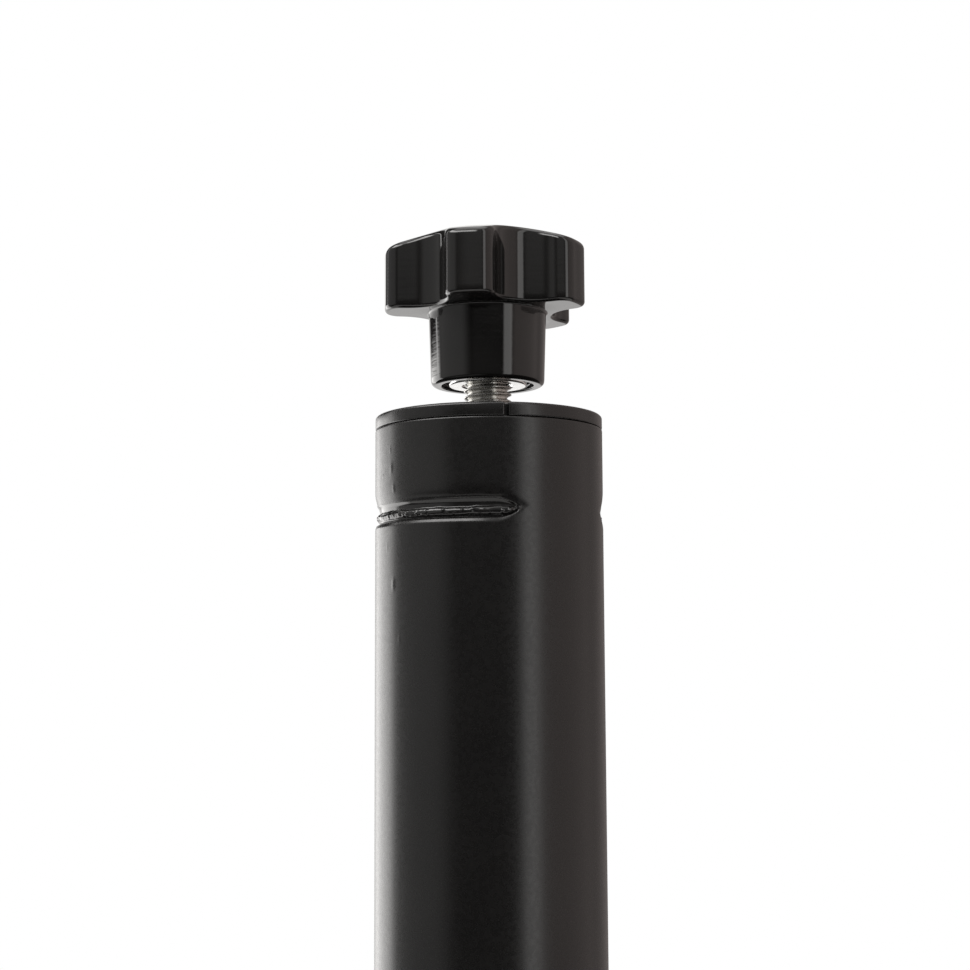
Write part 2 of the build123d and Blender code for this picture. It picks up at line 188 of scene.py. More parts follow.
class Nodes:
    """Small helper that builds one procedural material."""

    def __init__(self, name, rough, metallic=0.0, specular=0.5):
        self.material = bpy.data.materials.new(name)
        self.material.use_nodes = True
        self.tree = self.material.node_tree
        self.shader = self.tree.nodes["Principled BSDF"]
        self.shader.inputs["Roughness"].default_value = rough
        self.shader.inputs["Metallic"].default_value = metallic
        self.shader.inputs["Specular IOR Level"].default_value = specular
        self.coords = self.tree.nodes.new("ShaderNodeTexCoord").outputs["Object"]
        self.last_bump = None

    def link(self, source, target):
        self.tree.links.new(source, target)

    def stretched(self, scale):
        mapping = self.tree.nodes.new("ShaderNodeMapping")
        mapping.inputs["Scale"].default_value = scale
        self.link(self.coords, mapping.inputs["Vector"])
        return mapping.outputs["Vector"]

    def noise(self, scale, detail=3.0, rough=0.5, stretch=(1, 1, 1)):
        node = self.tree.nodes.new("ShaderNodeTexNoise")
        node.inputs["Scale"].default_value = scale
        node.inputs["Detail"].default_value = detail
        node.inputs["Roughness"].default_value = rough
        self.link(self.stretched(stretch), node.inputs["Vector"])
        return node.outputs["Fac"]

    def cells(self, scale):
        node = self.tree.nodes.new("ShaderNodeTexVoronoi")
        node.inputs["Scale"].default_value = scale
        self.link(self.coords, node.inputs["Vector"])
        return node.outputs["Distance"]

    def remap(self, value, low, high, to_low, to_high):
        node = self.tree.nodes.new("ShaderNodeMapRange")
        for name, number in zip(("From Min", "From Max", "To Min", "To Max"), (low, high, to_low, to_high)):
            node.inputs[name].default_value = number
        self.link(value, node.inputs["Value"])
        return node.outputs["Result"]

    def add(self, first, second):
        node = self.tree.nodes.new("ShaderNodeMath")
        node.operation = "ADD"
        self.link(first, node.inputs[0])
        self.link(second, node.inputs[1])
        return node.outputs[0]

    def ramp(self, value, stops):
        node = self.tree.nodes.new("ShaderNodeValToRGB")
        node.color_ramp.elements[0].position = stops[0][0]
        node.color_ramp.elements[0].color = (*stops[0][1], 1)
        node.color_ramp.elements[1].position = stops[-1][0]
        node.color_ramp.elements[1].color = (*stops[-1][1], 1)
        for position, colour in stops[1:-1]:
            node.color_ramp.elements.new(position).color = (*colour, 1)
        self.link(value, node.inputs["Fac"])
        return node.outputs["Color"]

    def bump(self, height, distance):
        """Adds a layer of bump over the ones before it; distance is its depth in metres."""
        node = self.tree.nodes.new("ShaderNodeBump")
        node.inputs["Distance"].default_value = distance
        node.inputs["Strength"].default_value = 1.0
        self.link(height, node.inputs["Height"])
        if self.last_bump is not None:
            self.link(self.last_bump, node.inputs["Normal"])
        self.last_bump = node.outputs["Normal"]
        self.link(self.last_bump, self.shader.inputs["Normal"])

    def colour(self, socket):
        self.link(socket, self.shader.inputs["Base Color"])

    def roughness(self, socket):
        self.link(socket, self.shader.inputs["Roughness"])


def paint_material(name, rough=0.27, peel=0.006, rub=0.0):
    """Black powder coat: orange peel, dust nibs and, where rub is over 0, lengthwise rub marks."""
    mat = Nodes(name, rough)
    mottling = mat.noise(60, 4)
    mat.colour(mat.ramp(mottling, [(0.3, (0.0034, 0.0031, 0.0030)), (0.7, (0.0052, 0.0048, 0.0046))]))
    roughness = mat.remap(mat.noise(900, 3), 0.3, 0.7, rough - 0.03, rough + 0.04)
    mat.bump(mat.noise(260, 2), peel * MM)
    mat.bump(mat.remap(mat.cells(90), 0.02, 0.06, 1, 0), 0.02 * MM)
    if rub > 0:
        marks = mat.noise(260, 4, 0.6, stretch=(1, 1, 0.02))
        roughness = mat.add(roughness, mat.remap(marks, 0.58, 0.72, 0, rub))
        mat.bump(marks, 0.01 * MM)
    mat.roughness(roughness)
    return mat.material


def weld_material():
    """The same paint over a weld bead, where it flowed and stayed glossy."""
    mat = Nodes("weld_paint", 0.10)
    mat.colour(mat.ramp(mat.noise(300, 3), [(0.3, (0.006, 0.006, 0.006)), (0.7, (0.010, 0.0095, 0.009))]))
    mat.roughness(mat.remap(mat.noise(700, 3), 0.3, 0.7, 0.07, 0.15))
    mat.bump(mat.noise(900, 3), 0.012 * MM)
    return mat.material


def knob_material():
    """Polished moulded black plastic, with faint flow ripples and hairline marks."""
    mat = Nodes("knob_plastic", 0.06)
    mat.colour(mat.ramp(mat.noise(90, 3), [(0.3, (0.0050, 0.0048, 0.0047)), (0.7, (0.0080, 0.0074, 0.0070))]))
    mat.roughness(mat.remap(mat.noise(500, 4), 0.35, 0.7, 0.045, 0.10))
    mat.bump(mat.noise(120, 2, stretch=(1, 1, 4)), 0.010 * MM)
    mat.bump(mat.noise(520, 2, stretch=(0.3, 0.3, 2.4)), 0.014 * MM)
    return mat.material


def steel_material(name, colour, rough, rings=0.0):
    """Bright plated steel, with turning marks where rings is over 0."""
    mat = Nodes(name, rough, metallic=1.0)
    dark = tuple(0.82 * c for c in colour)
    mat.colour(mat.ramp(mat.noise(400, 4), [(0.3, dark), (0.65, colour)]))
    mat.roughness(mat.remap(mat.noise(1500, 3), 0.3, 0.7, rough - 0.04, rough + 0.08))
    mat.bump(mat.noise(1300, 3), 0.006 * MM)
    if rings > 0:
        mat.bump(mat.noise(2200, 2, stretch=(1, 1, 0.05)), rings * MM)
    return mat.material


def plastic_material(name, dark, light, rough, grain):
    """Moulded nylon with a fine spark-eroded grain."""
    mat = Nodes(name, rough)
    mat.colour(mat.ramp(mat.noise(150, 4), [(0.3, dark), (0.7, light)]))
    mat.roughness(mat.remap(mat.noise(800, 3), 0.3, 0.7, rough - 0.06, rough + 0.08))
    mat.bump(mat.cells(1400), grain * MM)
    return mat.material


def rubber_material():
    """Moulded rubber: dull, slightly dusty, with a fine grain."""
    mat = Nodes("sole_rubber", 0.75, specular=0.35)
    dust = mat.noise(45, 5, 0.6)
    clean, worn, dusty = (0.012, 0.012, 0.012), (0.020, 0.020, 0.019), (0.035, 0.034, 0.032)
    mat.colour(mat.ramp(dust, [(0.35, clean), (0.62, worn), (0.8, dusty)]))
    mat.roughness(mat.remap(dust, 0.3, 0.7, 0.66, 0.85))
    mat.bump(mat.noise(1100, 3), 0.04 * MM)
    mat.bump(mat.noise(160, 2), 0.05 * MM)
    return mat.material


# ------------------------------------------------------------------ star knob

def knob_outline():
    """Points of the lobed outline and their outward normals, with lobe 0 on the +X axis."""
    rim_x = HEAD_R * math.cos(math.radians(FLUTE_HALF_ANGLE))
    rim_y = HEAD_R * math.sin(math.radians(FLUTE_HALF_ANGLE))
    centre = (rim_x**2 + rim_y**2 - FLUTE_FLOOR_R**2) / (2 * (rim_x - FLUTE_FLOOR_R))
    flute_r = centre - FLUTE_FLOOR_R
    reach = HEAD_R - LOBE_CORNER_R
    far = flute_r + LOBE_CORNER_R
    phi = math.acos((reach**2 + centre**2 - far**2) / (2 * reach * centre))
    corner = Vector((reach * math.cos(phi), reach * math.sin(phi)))
    to_flute = Vector((centre, 0)) - corner
    flute_turn = math.degrees(math.atan2(corner.y, centre - corner.x))
    fillet_start = math.degrees(math.atan2(to_flute.y, to_flute.x))
    phi_deg = math.degrees(phi)
    pitch = 360 / LOBES
    sector = []
    for point in arc_points((centre, 0), flute_r, 180 + flute_turn, 180 - flute_turn, 22)[:-1]:
        sector.append((Vector(point), (Vector((centre, 0)) - Vector(point)).normalized()))
    for point in arc_points(corner, LOBE_CORNER_R, fillet_start, phi_deg, 8)[:-1]:
        sector.append((Vector(point), (Vector(point) - corner).normalized()))
    for point in arc_points((0, 0), HEAD_R, phi_deg, pitch - phi_deg, 14)[:-1]:
        sector.append((Vector(point), Vector(point).normalized()))
    turned = Matrix.Rotation(math.radians(pitch), 2)
    mirrored = turned @ Vector((corner.x, -corner.y))
    for point in arc_points(mirrored, LOBE_CORNER_R, pitch - phi_deg, pitch - fillet_start, 8)[:-1]:
        sector.append((Vector(point), (Vector(point) - mirrored).normalized()))
    outline = []
    for k in range(LOBES):
        turn = Matrix.Rotation(math.radians(pitch * (k + 0.5)), 2)
        outline += [(turn @ point, turn @ normal) for point, normal in sector]
    return outline


def star_knob(name, place):
    """Whole moulding as one skin of rings: pocket, recess, boss, lobed head and crowned top."""
    outline = knob_outline()
    angles = [math.atan2(point.y, point.x) for point, _ in outline]
    rim_run = 0.9 * HEAD_TOP_R
    rings = []

    def circle(radius, height):
        rings.append([place @ Vector((radius * math.cos(a), radius * math.sin(a), height)) for a in angles])

    def crown(radius):
        """Height of the domed top at a radius."""
        return KNOB_HEIGHT - DOME_R + math.sqrt(DOME_R**2 - radius**2)

    def lobed(inset, height, blend=0.0, radius=0.0):
        """Level ring along the lobed outline, blended towards a circle of the given radius."""
        ring = []
        for (point, normal), a in zip(outline, angles):
            flat = point - normal * inset
            round_point = Vector((radius * math.cos(a), radius * math.sin(a)))
            flat = flat.lerp(round_point, blend)
            ring.append(place @ Vector((flat.x, flat.y, height)))
        rings.append(ring)

    def under_crown(share, inset=0.0, drop=HEAD_TOP_R):
        """Ring at a share of the way up the side, or drop below the crown at share 1."""
        low = BOSS_HEIGHT + HEAD_UNDER_R
        ring = []
        for point, normal in outline:
            flat = point - normal * inset
            high = crown(flat.length) - drop
            ring.append(place @ Vector((flat.x, flat.y, low + (high - low) * share)))
        rings.append(ring)

    def on_crown(share):
        """Ring on the crown, drawn in from the rim's rounding towards the axis."""
        ring = []
        for point, normal in outline:
            flat = (point - normal * rim_run) * share
            ring.append(place @ Vector((flat.x, flat.y, crown(flat.length))))
        rings.append(ring)

    circle(INSERT_R, INSERT_LENGTH)
    circle(INSERT_R, RECESS_DEPTH + 0.02 * MM)
    circle(INSERT_R + 0.02 * MM, RECESS_DEPTH)
    circle(RECESS_R - 0.15 * MM, RECESS_DEPTH)
    circle(RECESS_R, RECESS_DEPTH - 0.15 * MM)
    circle(RECESS_R, 0.35 * MM)
    for out, up in arc_points((RECESS_R + 0.3 * MM, 0.3 * MM), 0.3 * MM, 180, 270, 4):
        circle(out, up)
    circle(RECESS_R + 0.5 * MM, 0)
    edge_centre = (BOSS_R_LOW - BOSS_EDGE_R, BOSS_EDGE_R)
    circle(edge_centre[0] - 0.1 * MM, 0)
    for out, up in arc_points(edge_centre, BOSS_EDGE_R, 270, 358, 9):
        circle(out, up)
    steps = 64
    for i in range(1, steps):
        share = i / steps
        height = BOSS_EDGE_R + share * (BOSS_HEIGHT - ROOT_R - BOSS_EDGE_R)
        # faint moulding ripples, which die away up the boss
        flow = 0.0035 * MM * math.sin(0.9 * i * i / 7.0) * (1 - share)
        circle(BOSS_R_LOW + (BOSS_R_TOP - BOSS_R_LOW) * height / BOSS_HEIGHT - abs(flow), height)
    for out, up in arc_points((BOSS_R_TOP + ROOT_R, BOSS_HEIGHT - ROOT_R), ROOT_R, 180, 90, 5):
        circle(out, up)
    lobed(HEAD_UNDER_R, BOSS_HEIGHT, 0.5, BOSS_R_TOP + ROOT_R)
    lobed(HEAD_UNDER_R + 0.12 * MM, BOSS_HEIGHT)
    for inset, up in arc_points((HEAD_UNDER_R, HEAD_UNDER_R), HEAD_UNDER_R, 270, 180, 8):
        lobed(inset, BOSS_HEIGHT + up)
    for i in range(1, 13):
        under_crown(i / 12)
    for i in range(1, 10):
        turn = math.radians(82 * i / 9)
        under_crown(1, rim_run * (1 - math.cos(turn)), HEAD_TOP_R * (1 - math.sin(turn)))
    for share in (1.0, 0.97, 0.93, 0.88, 0.82, 0.75, 0.67, 0.58, 0.48, 0.38, 0.28):
        on_crown(share)
    # mark of the moulding gate in the middle of the crown
    gate_r = 2.2 * MM
    circle(gate_r + 0.5 * MM, crown(gate_r))
    circle(gate_r + 0.3 * MM, crown(gate_r) - 0.02 * MM)
    circle(gate_r, crown(gate_r) - 0.35 * MM)
    circle(0.4 * MM, crown(gate_r) - 0.30 * MM)
    verts, faces = skin(rings)
    return make_object(name, verts, faces)


def insert_piece(name, place):
    """Turned insert: faced end with a chamfered rim, and a countersunk mouth for the stud."""
    rim = 0.35 * MM
    sink = 0.55 * MM
    mouth = INSERT_HOLE_R + sink
    side = INSERT_R - 0.02 * MM
    profile = [(INSERT_HOLE_R, INSERT_BORE), (INSERT_HOLE_R, sink)]
    profile += [(mouth, 0.02 * MM), (mouth + 0.06 * MM, 0)]
    profile += [(out, 0) for out in np.linspace(mouth + 0.1 * MM, INSERT_R - rim - 0.1 * MM, 14)]
    profile += [(INSERT_R - rim, 0.01 * MM), (side, rim), (side, INSERT_LENGTH)]
    return lathe(name, profile, place)


# ------------------------------------------------------------------ threads

THREAD_DEPTH = 0.6134 * THREAD_PITCH      # of a metric external thread


def thread_radius(share):
    """Radius over one pitch; share runs from one root to the next."""
    from_crest = abs(share - 0.5)
    flank = np.clip((0.40 - from_crest) / 0.33, 0, 1)
    rounded = flank * flank * (3 - 2 * flank) * 0.35 + flank * 0.65
    return STUD_R - THREAD_DEPTH * (1 - rounded)


def threaded_rod(name, place, low, high):
    """Stud with a right-hand thread between two heights of place, with tapered closed ends."""
    segments = 48
    shares = [0.0, 0.07, 0.13, 0.22, 0.31, 0.40, 0.45, 0.5, 0.55, 0.60, 0.69, 0.78, 0.87, 0.93, 1.0]
    radii = [thread_radius(share) for share in shares]
    turns = int((high - low) / THREAD_PITCH) + 2
    end_r = STUD_R - 1.15 * THREAD_DEPTH
    verts = []
    faces = []
    width = len(shares)
    for i in range(turns * segments + 1):
        angle = 2 * math.pi * (i % segments) / segments
        base = low + THREAD_PITCH * (i / segments - 1)
        for share, radius in zip(shares, radii):
            height = min(max(base + share * THREAD_PITCH, low), high)
            from_end = min(height - low, high - height)
            radius = min(radius, end_r + from_end)
            verts.append(place @ Vector((radius * math.cos(angle), radius * math.sin(angle), height)))
    for i in range(turns * segments):
        for j in range(width - 1):
            a = i * width + j
            faces.append((a, a + width, a + width + 1, a + 1))
    rod = make_object(name, verts, faces)
    work = bmesh.new()
    work.from_mesh(rod.data)
    bmesh.ops.holes_fill(work, edges=[e for e in work.edges if e.is_boundary], sides=0)
    bmesh.ops.recalc_face_normals(work, faces=work.faces)
    work.to_mesh(rod.data)
    work.free()
    return rod


# ------------------------------------------------------------------ outer tube and its plug welds

HALF_SLOT = TUBE_R * math.radians(SLOT_ARC / 2)
WELD_BORDER = 0.45 * MM        # the weld's own mesh starts this far inside the slot's outline
WELD_THICKNESS = 0.9 * MM
CLAMP_HOLE_R = 6.4 * MM
BLOB_COUNT = 40                # spatter caught in each bead


def around(turn, middle):
    """Angle from middle to turn, between -pi and pi."""
    return (turn - middle + math.pi) % (2 * math.pi) - math.pi


def slot_distance(turn, height):
    """Distance from the nearest slot's outline in the unrolled wall, and place along the slot.

    The distance is below 0 inside the slot; the place is 0 at the slot's middle.
    """
    best = np.full(np.broadcast(turn, height).shape, 1.0)
    along = np.zeros_like(best)
    straight = HALF_SLOT - SLOT_H / 2
    for k in range(SLOT_COUNT):
        middle = math.radians(SLOT_START + SLOT_ARC / 2 + k * 360 / SLOT_COUNT)
        u = TUBE_R * around(turn, middle)
        end = np.maximum(np.abs(u) - straight, 0)
        taper = smooth_step(np.abs(u), straight - 3 * MM, HALF_SLOT)
        distance = np.hypot(end, (height - SLOT_Z) / (1 - 0.5 * taper)) - SLOT_H / 2
        nearer = distance < best
        best = np.where(nearer, distance, best)
        along = np.where(nearer, u, along)
    return best, along


def bead_height(u, v, distance):
    """Height of the smooth bead along the slot's lower half, with slight ripples."""
    line = -0.70 * MM + 0.16 * MM * wander(u, 3, 23 * MM)
    half = 1.10 * MM + 0.10 * MM * wander(u, 5, 15 * MM)
    across = np.clip(np.abs(v - line) / half, 0, 1)
    ripple = 0.018 * MM * np.sin(2 * math.pi * u / (1.7 * MM) + 1.8 * wander(u, 8, 9 * MM))
    crest = 0.55 * MM + 0.07 * MM * wander(u, 11, 11 * MM) + ripple
    return crest * (1 - across**2) * smooth_step(-distance, 0.1 * MM, 1.3 * MM)


def ridge_height(u, v, distance):
    """Height of the thin ridge of weld metal under the slot's upper edge."""
    line = 2.85 * MM + 0.20 * MM * wander(u, 31, 26 * MM)
    ridge = 0.13 * MM * np.exp(-(((v - line) / (0.30 * MM)) ** 2)) * smooth_step(u, -8 * MM, 4 * MM)
    return ridge * smooth_step(-distance, -1.2 * MM, -0.2 * MM)


def blob_height(u, v):
    """Height of the small round blobs on the bead."""
    total = 0 * u
    rng = random.Random(21)
    for _ in range(BLOB_COUNT):
        blob_u = rng.uniform(-HALF_SLOT, HALF_SLOT)
        blob_v = rng.uniform(-1.3, 0.2) * MM
        size = rng.uniform(0.25, 0.50) * MM
        gap = np.hypot(u - blob_u, v - blob_v) / size
        total = total + 0.55 * size * np.clip(1 - gap**2, 0, 1)
    return total


def wall_depth(turn, height):
    """How far the painted wall lies below the tube's round surface, round the slots."""
    distance, u = slot_distance(turn, height)
    v = height - SLOT_Z
    above = smooth_step(v, -0.5 * MM, 0.5 * MM)
    reach = (0.45 + 1.15 * above) * MM
    roll = (0.26 + 0.24 * above) * MM
    to_tip = smooth_step(np.abs(u), HALF_SLOT - 6 * MM, HALF_SLOT)
    outside = roll * (1 - 0.6 * to_tip) * np.exp(-(np.maximum(distance, 0) / reach) ** 2)
    slope = smooth_step(-distance, 0, (0.55 + 0.85 * above) * MM)
    inside = (0.85 * MM - 0.10 * MM * above) * slope
    depth = outside + inside - bead_height(u, v, distance) - ridge_height(u, v, distance)
    return np.maximum(depth - blob_height(u, v) * (distance < 0), 0)


NIBS = (  # angle from +X in degrees, height below the tube's top, size and height in mm
    (-146, 11.0, 0.9, 0.10), (-144, 16.0, 0.7, 0.08), (-147, 6.5, 0.5, 0.06), (-144, 39.0, 0.9, 0.12),
    (-49, 92.0, 0.4, 0.12), (-150, 30.0, 0.5, 0.05), (-139, 52.0, 0.6, 0.05), (60, 33.0, 0.8, 0.08),
    (130, 70.0, 0.7, 0.09), (20, 150.0, 0.8, 0.10),
)


def nib_height(turn, height):
    """Small lumps of dust caught under the paint."""
    total = np.zeros(np.broadcast(turn, height).shape)
    for degrees, drop, size, rise in NIBS:
        away = around(turn, math.radians(degrees))
        gap = np.hypot(TUBE_R * away, (height - tube_high.z + drop * MM) / 1.6) / (size * MM)
        total = total + rise * MM * np.exp(-(2 * gap**2))
    return total


def tube_rows():
    """Heights of the rows of the tube's skin, close together where it has detail."""
    lip = 0.5 * MM
    rows = [tube_low.z + lip]
    z = tube_low.z + 5 * MM
    while z < tube_high.z - 60 * MM:
        rows.append(z)
        z += 5 * MM
    while z < tube_high.z - lip:
        rows.append(z)
        near_slot = abs(z - SLOT_Z) < SLOT_H / 2 + 2.2 * MM
        z += 0.16 * MM if near_slot else 0.7 * MM
    rows.append(tube_high.z - lip)
    return rows, lip


def drop_loose(obj):
    """Deletes the vertices that no face uses."""
    work = bmesh.new()
    work.from_mesh(obj.data)
    bmesh.ops.delete(work, geom=[v for v in work.verts if not v.link_faces], context="VERTS")
    work.to_mesh(obj.data)
    work.free()


def tube_pieces():
    """The outer tube as a walled shell with open slots, and the weld beads that fill them."""
    columns = 900
    rows, lip = tube_rows()
    turns = np.linspace(0, 2 * math.pi, columns, endpoint=False)[None, :]
    heights = np.array(rows)[:, None]
    radii = TUBE_R - wall_depth(turns, heights) + nib_height(turns, heights)
    distance, _ = slot_distance(turns, heights)

    def circle(radius, height):
        return [(radius * math.cos(t), radius * math.sin(t), height) for t in turns[0]]

    rings = [circle(out, up) for out, up in arc_points((TUBE_R - lip, rows[0]), lip, -90, 0, 6)[:-1]]
    first = len(rings)
    for line, height in zip(radii, rows):
        rings.append([(r * math.cos(t), r * math.sin(t), height) for r, t in zip(line, turns[0])])
    rings += [circle(out, up) for out, up in arc_points((TUBE_R - lip, rows[-1]), lip, 0, 90, 6)[1:]]
    rings += [circle(TUBE_R - TUBE_WALL, tube_high.z), circle(TUBE_R - TUBE_WALL, tube_low.z)]
    rings.append(rings[0])
    verts, faces = skin(rings, caps=False)

    wall_faces = []
    weld_faces = []
    for face in faces:
        row, column = divmod(face[0], columns)
        on_skin = first <= row < first + len(rows) - 1
        if on_skin and distance[row - first, column] < -WELD_BORDER:
            weld_faces.append(face)
            continue
        x, y, z = verts[face[0]]
        at_clamp = x > 0 and math.hypot(y, z - CLAMP_Z) < CLAMP_HOLE_R
        if not at_clamp:
            wall_faces.append(face)
    wall = make_object("outer_tube_wall", verts, wall_faces)
    weld = make_object("plug_weld_beads", verts, weld_faces)
    drop_loose(wall)
    drop_loose(weld)
    outward = sum(p.normal.x * p.center.x + p.normal.y * p.center.y for p in weld.data.polygons)
    if outward < 0:
        weld.data.flip_normals()
    thick = weld.modifiers.new("thickness", "SOLIDIFY")
    thick.thickness = WELD_THICKNESS
    thick.offset = -1
    return wall, weld


# ------------------------------------------------------------------ end ring

def end_ring_piece():
    """Rolled band with softened edges, open at its seam, very slightly uneven."""
    low = ring_low.z + 0.06 * MM
    high = ring_high.z
    inner = TUBE_R - TUBE_WALL
    top_edge = 0.8 * MM
    low_edge = 0.4 * MM
    bore_edge = 0.3 * MM
    section = arc_points((TUBE_R - top_edge, high - top_edge), top_edge, 0, 90, 7)
    section += arc_points((inner + bore_edge, high - bore_edge), bore_edge, 90, 180, 3)
    section += arc_points((inner + bore_edge, low + bore_edge), bore_edge, 180, 270, 3)
    section += arc_points((TUBE_R - low_edge, low + low_edge), low_edge, 270, 360, 5)
    middle = ((TUBE_R + inner) / 2, (low + high) / 2)
    half_gap = math.degrees(RING_SEAM_GAP / 2 / TUBE_R)
    start = RING_SEAM_ANGLE + half_gap
    end = RING_SEAM_ANGLE + 360 - half_gap
    ease = 0.45 * MM
    stops = [(start + math.degrees(ease * (1 - math.cos(t)) / TUBE_R), ease * (1 - math.sin(t)))
             for t in np.linspace(0, math.pi / 2, 6)]
    stops += [(angle, 0.0) for angle in np.linspace(start + 1.4, end - 1.4, 260)]
    stops += [(end - math.degrees(ease * (1 - math.cos(t)) / TUBE_R), ease * (1 - math.sin(t)))
              for t in np.linspace(math.pi / 2, 0, 6)]
    rings = []
    for degrees, inset in stops:
        turn = math.radians(degrees)
        wave = 0.02 * MM * math.sin(5 * turn) * math.sin(2 * turn + 1) - 0.02 * MM
        ring = []
        for out, up in section:
            near = math.copysign(min(abs(out - middle[0]), TUBE_WALL / 2 - inset), out - middle[0])
            level = math.copysign(min(abs(up - middle[1]), (high - low) / 2 - inset), up - middle[1])
            radius = middle[0] + near + wave
            ring.append((radius * math.cos(turn), radius * math.sin(turn), middle[1] + level))
        rings.append(ring)
    verts, faces = skin(rings)
    return make_object("end_ring_band", verts, faces)


# ------------------------------------------------------------------ weld bead round the clamp boss

def boss_bead():
    """Rippled fillet weld where the clamp boss meets the tube."""
    steps = 220
    up = Vector((1, 0, 0))
    rings = []
    for i in range(steps):
        turn = 2 * math.pi * i / steps
        out = Vector((0, math.cos(turn), math.sin(turn)))
        y = CLAMP_BOSS_R * out.y
        foot = Vector((math.sqrt(TUBE_R**2 - y**2), y, CLAMP_Z + CLAMP_BOSS_R * out.z))
        ripple = 1 + 0.07 * abs(math.sin(math.pi * i / 5)) + 0.05 * math.sin(i * 0.21) * math.sin(i * 0.05)
        section = arc_points((-0.2 * MM, -0.2 * MM), 1.9 * MM * ripple, 0, 330, 11)
        rings.append([foot + out * a + up * b for a, b in section])
    rings.append(rings[0])
    verts, faces = skin(rings, caps=False)
    return make_object("clamp_boss_weld", verts, faces)


# ------------------------------------------------------------------ build the pieces

paint = paint_material("black_paint")
glossy_weld = weld_material()
knob_plastic = knob_material()
zinc = steel_material("zinc_steel", (0.66, 0.65, 0.62), 0.24)
insert_steel = steel_material("insert_steel", (0.86, 0.86, 0.85), 0.12)
bare = steel_material("bare_steel", (0.42, 0.41, 0.39), 0.42)
brass = steel_material("brass_pad", (0.68, 0.49, 0.22), 0.30)
inner_paint = paint_material("inner_paint", 0.36, 0.008, rub=0.18)
bracket_paint = paint_material("bracket_paint", 0.36, 0.016)
nylon = plastic_material("black_nylon", (0.011, 0.011, 0.011), (0.018, 0.018, 0.018), 0.48, 0.02)
white_nylon = plastic_material("white_nylon", (0.50, 0.49, 0.45), (0.62, 0.61, 0.57), 0.45, 0.01)
rubber = rubber_material()

BY_SLOT = {
    "black_paint": paint, "weld_paint": glossy_weld, "inner_paint": inner_paint,
    "bracket_paint": bracket_paint, "bare_steel": bare, "zinc_steel": zinc,
    "insert_steel": insert_steel, "brass_pad": brass, "knob_plastic": knob_plastic,
    "black_nylon": nylon, "white_nylon": white_nylon, "sole_rubber": rubber,
}


def finish_piece(obj, body, slot_name, *nodes):
    """Gives a new piece its material and the body it rides on, and hides the CAD nodes it stands for."""
    obj.data.materials.clear()
    obj.data.materials.append(BY_SLOT[slot_name])
    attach(obj, body)
    if nodes:
        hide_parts(*nodes)
    return obj


for part in frame["record"]["subparts"]:
    node = frame["nodes"][part["node"]]
    for holder in node.material_slots:
        holder.material = BY_SLOT[part["material_slot"]]

knob_place = Matrix.Translation((STUD_X, 0, knob_low.z))
knob_turned = knob_place @ Matrix.Rotation(math.radians(LOBE_ANGLE), 4, "Z")
clamp_axes = Matrix(((0, 0, 1, clamp_knob_low.x), (1, 0, 0, 0), (0, 1, 0, CLAMP_Z), (0, 0, 0, 1)))
clamp_turned = clamp_axes @ Matrix.Rotation(math.radians(CLAMP_LOBE_ANGLE), 4, "Z")

tube_wall, weld_beads = tube_pieces()
finish_piece(tube_wall, "outer", "black_paint", "outer_tube")
finish_piece(weld_beads, "outer", "weld_paint", "plug_welds")
finish_piece(end_ring_piece(), "outer", "black_paint", "end_ring")
finish_piece(boss_bead(), "outer", "black_paint")
finish_piece(star_knob("knob_moulding", knob_turned), "knob", "knob_plastic", "knob_body")
finish_piece(insert_piece("knob_insert_turned", knob_place), "knob", "insert_steel", "knob_insert")
clamp_star = star_knob("clamp_knob_moulding", clamp_turned)
finish_piece(clamp_star, "clamp_knob", "knob_plastic", "clamp_knob_body")
clamp_insert = insert_piece("clamp_insert_turned", clamp_axes)
finish_piece(clamp_insert, "clamp_knob", "insert_steel", "clamp_knob_insert")

stud_place = Matrix.Translation((STUD_X, 0, 0))
top_stud = threaded_rod("knob_stud_thread", stud_place, stud_low.z, stud_high.z)
finish_piece(top_stud, "knob_travel", "zinc_steel", "knob_stud")
clamp_line = Matrix(((0, 0, 1, 0), (1, 0, 0, 0), (0, 1, 0, CLAMP_Z), (0, 0, 0, 1)))
side_stud = threaded_rod("clamp_stud_thread", clamp_line, clamp_stud_low.x, clamp_stud_high.x)
finish_piece(side_stud, "clamp_travel", "zinc_steel", "clamp_stud")


# ------------------------------------------------------------------ studio

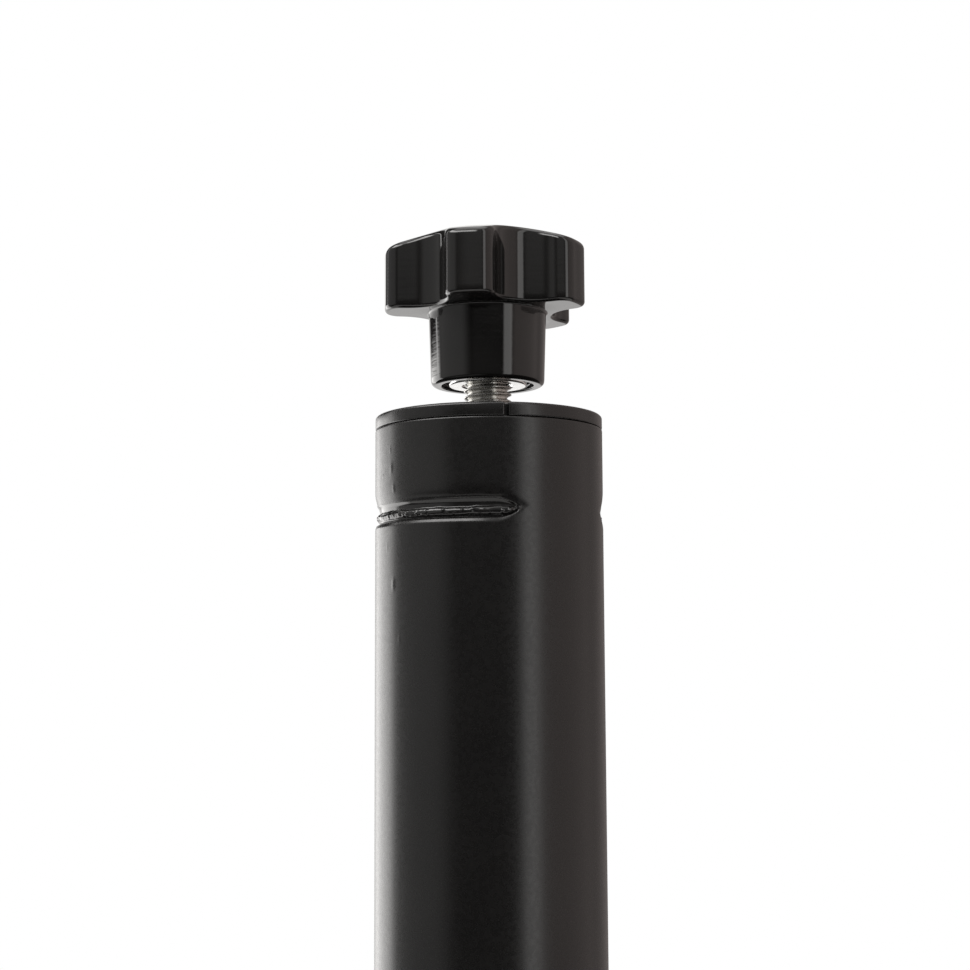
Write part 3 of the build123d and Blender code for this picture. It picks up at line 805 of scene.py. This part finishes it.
def studio_world():
    """White studio with soft boxes all round and overhead, and a narrow bright strip at the front right."""
    world = bpy.data.worlds.new("studio")
    bpy.context.scene.world = world
    world.use_nodes = True
    tree = world.node_tree
    tree.nodes.clear()

    def math_node(kind, first, second=None):
        node = tree.nodes.new("ShaderNodeMath")
        node.operation = kind
        for socket, value in zip(node.inputs, (first, second)):
            if value is None:
                continue
            if isinstance(value, (int, float)):
                socket.default_value = value
            else:
                tree.links.new(value, socket)
        return node.outputs[0]

    def step(value, edge, soft):
        node = tree.nodes.new("ShaderNodeMapRange")
        node.interpolation_type = "SMOOTHSTEP"
        node.inputs["From Min"].default_value = edge - soft
        node.inputs["From Max"].default_value = edge + soft
        tree.links.new(value, node.inputs["Value"])
        return node.outputs["Result"]

    direction = tree.nodes.new("ShaderNodeTexCoord").outputs["Generated"]
    split = tree.nodes.new("ShaderNodeSeparateXYZ")
    tree.links.new(direction, split.inputs[0])
    x, y, z = split.outputs
    to_front = math_node("MULTIPLY", y, -1.0)
    azimuth = math_node("MULTIPLY", math_node("ARCTAN2", x, to_front), 180 / math.pi)
    elevation = math_node("MULTIPLY", math_node("ARCSINE", z), 180 / math.pi)

    def band(value, low, high, soft):
        below_top = math_node("SUBTRACT", 1.0, step(value, high, soft))
        return math_node("MULTIPLY", step(value, low, soft), below_top)

    # Each row is one soft box, in degrees: azimuth from, to and softness (0 is the front, + is right),
    # elevation from, to and softness. Its light and whether it is warm come last.
    boxes = (
        (-400, -156, 6, -70, 80, 8, 1.05, False),
        (-156, -112, 5, -70, 9, 1.0, 3.3, False),
        (-122, -117, 1, 9, 45, 2, 3.0, False),
        (-100, -12, 10, 38, 58, 4, 7.5, False),
        (-112, -42, 12, -20, 60, 7, 0.46, False),
        (-30, 28, 8, -20, 60, 7, 0.05, False),
        (-30, 28, 12, 11, 60, 4, 0.30, False),
        (32, 49, 2.5, -24, 60, 6, 1.9, False),
        (49, 116, 10, -20, 60, 7, 0.60, True),
        (116, 170, 10, -70, 80, 15, 0.32, True),
        (172, 400, 5, -70, 80, 8, 1.0, False),
        (-400, 400, 10, 66, 120, 8, 2.0, False),
    )
    fill = 0.04
    totals = {False: fill, True: 0.0}
    for low, high, soft, base, top, blur, light, warm in boxes:
        patch = math_node("MULTIPLY", band(azimuth, low, high, soft), band(elevation, base, top, blur))
        totals[warm] = math_node("ADD", math_node("MULTIPLY", patch, light), totals[warm])

    lamps = []
    for warm, colour in ((False, (1.0, 0.985, 0.97, 1)), (True, (1.0, 0.87, 0.83, 1))):
        lamp = tree.nodes.new("ShaderNodeBackground")
        tree.links.new(totals[warm], lamp.inputs["Strength"])
        lamp.inputs["Color"].default_value = colour
        lamps.append(lamp.outputs[0])
    soft_light = tree.nodes.new("ShaderNodeAddShader")
    tree.links.new(lamps[0], soft_light.inputs[0])
    tree.links.new(lamps[1], soft_light.inputs[1])
    backdrop = tree.nodes.new("ShaderNodeBackground")
    backdrop.inputs["Color"].default_value = (1, 1, 1, 1)
    backdrop.inputs["Strength"].default_value = 1.0
    seen = tree.nodes.new("ShaderNodeLightPath").outputs["Is Camera Ray"]
    mix = tree.nodes.new("ShaderNodeMixShader")
    tree.links.new(seen, mix.inputs["Fac"])
    tree.links.new(soft_light.outputs[0], mix.inputs[1])
    tree.links.new(backdrop.outputs[0], mix.inputs[2])
    output = tree.nodes.new("ShaderNodeOutputWorld")
    tree.links.new(mix.outputs[0], output.inputs["Surface"])


def studio_floor():
    """Pale round floor under the foot, too small to show in the main view."""
    radius = 0.8
    sides = 96
    level = -0.2 * MM
    turns = [2 * math.pi * i / sides for i in range(sides)]
    verts = [(radius * math.cos(t), radius * math.sin(t), level) for t in turns]
    verts.append((0, 0, level))
    faces = [(i, (i + 1) % sides, sides) for i in range(sides)]
    floor = make_object("floor", verts, faces)
    mat = Nodes("pale_floor", 0.7)
    mat.colour(mat.ramp(mat.noise(8, 3), [(0.3, (0.675, 0.675, 0.67)), (0.7, (0.69, 0.69, 0.685))]))
    floor.data.materials.append(mat.material)


def studio_camera():
    """Camera a little below the tube's top, looking slightly up."""
    camera = bpy.data.cameras.new("camera")
    camera.sensor_width = 36.0
    camera.lens = 59.38144
    camera.clip_start = 0.02
    obj = bpy.data.objects.new("camera", camera)
    bpy.context.scene.collection.objects.link(obj)
    pitch = math.radians(5.90)
    roll = -0.0046
    turn = Matrix.Rotation(math.pi / 2 + pitch, 4, "X") @ Matrix.Rotation(roll, 4, "Z")
    place = (-1.0 * MM, -399.6 * MM, ring_high.z - 58.2 * MM)
    obj.matrix_world = Matrix.Translation(place) @ turn
    bpy.context.scene.camera = obj


studio_world()
studio_floor()
studio_camera()
bpy.context.scene.view_settings.view_transform = "Standard"
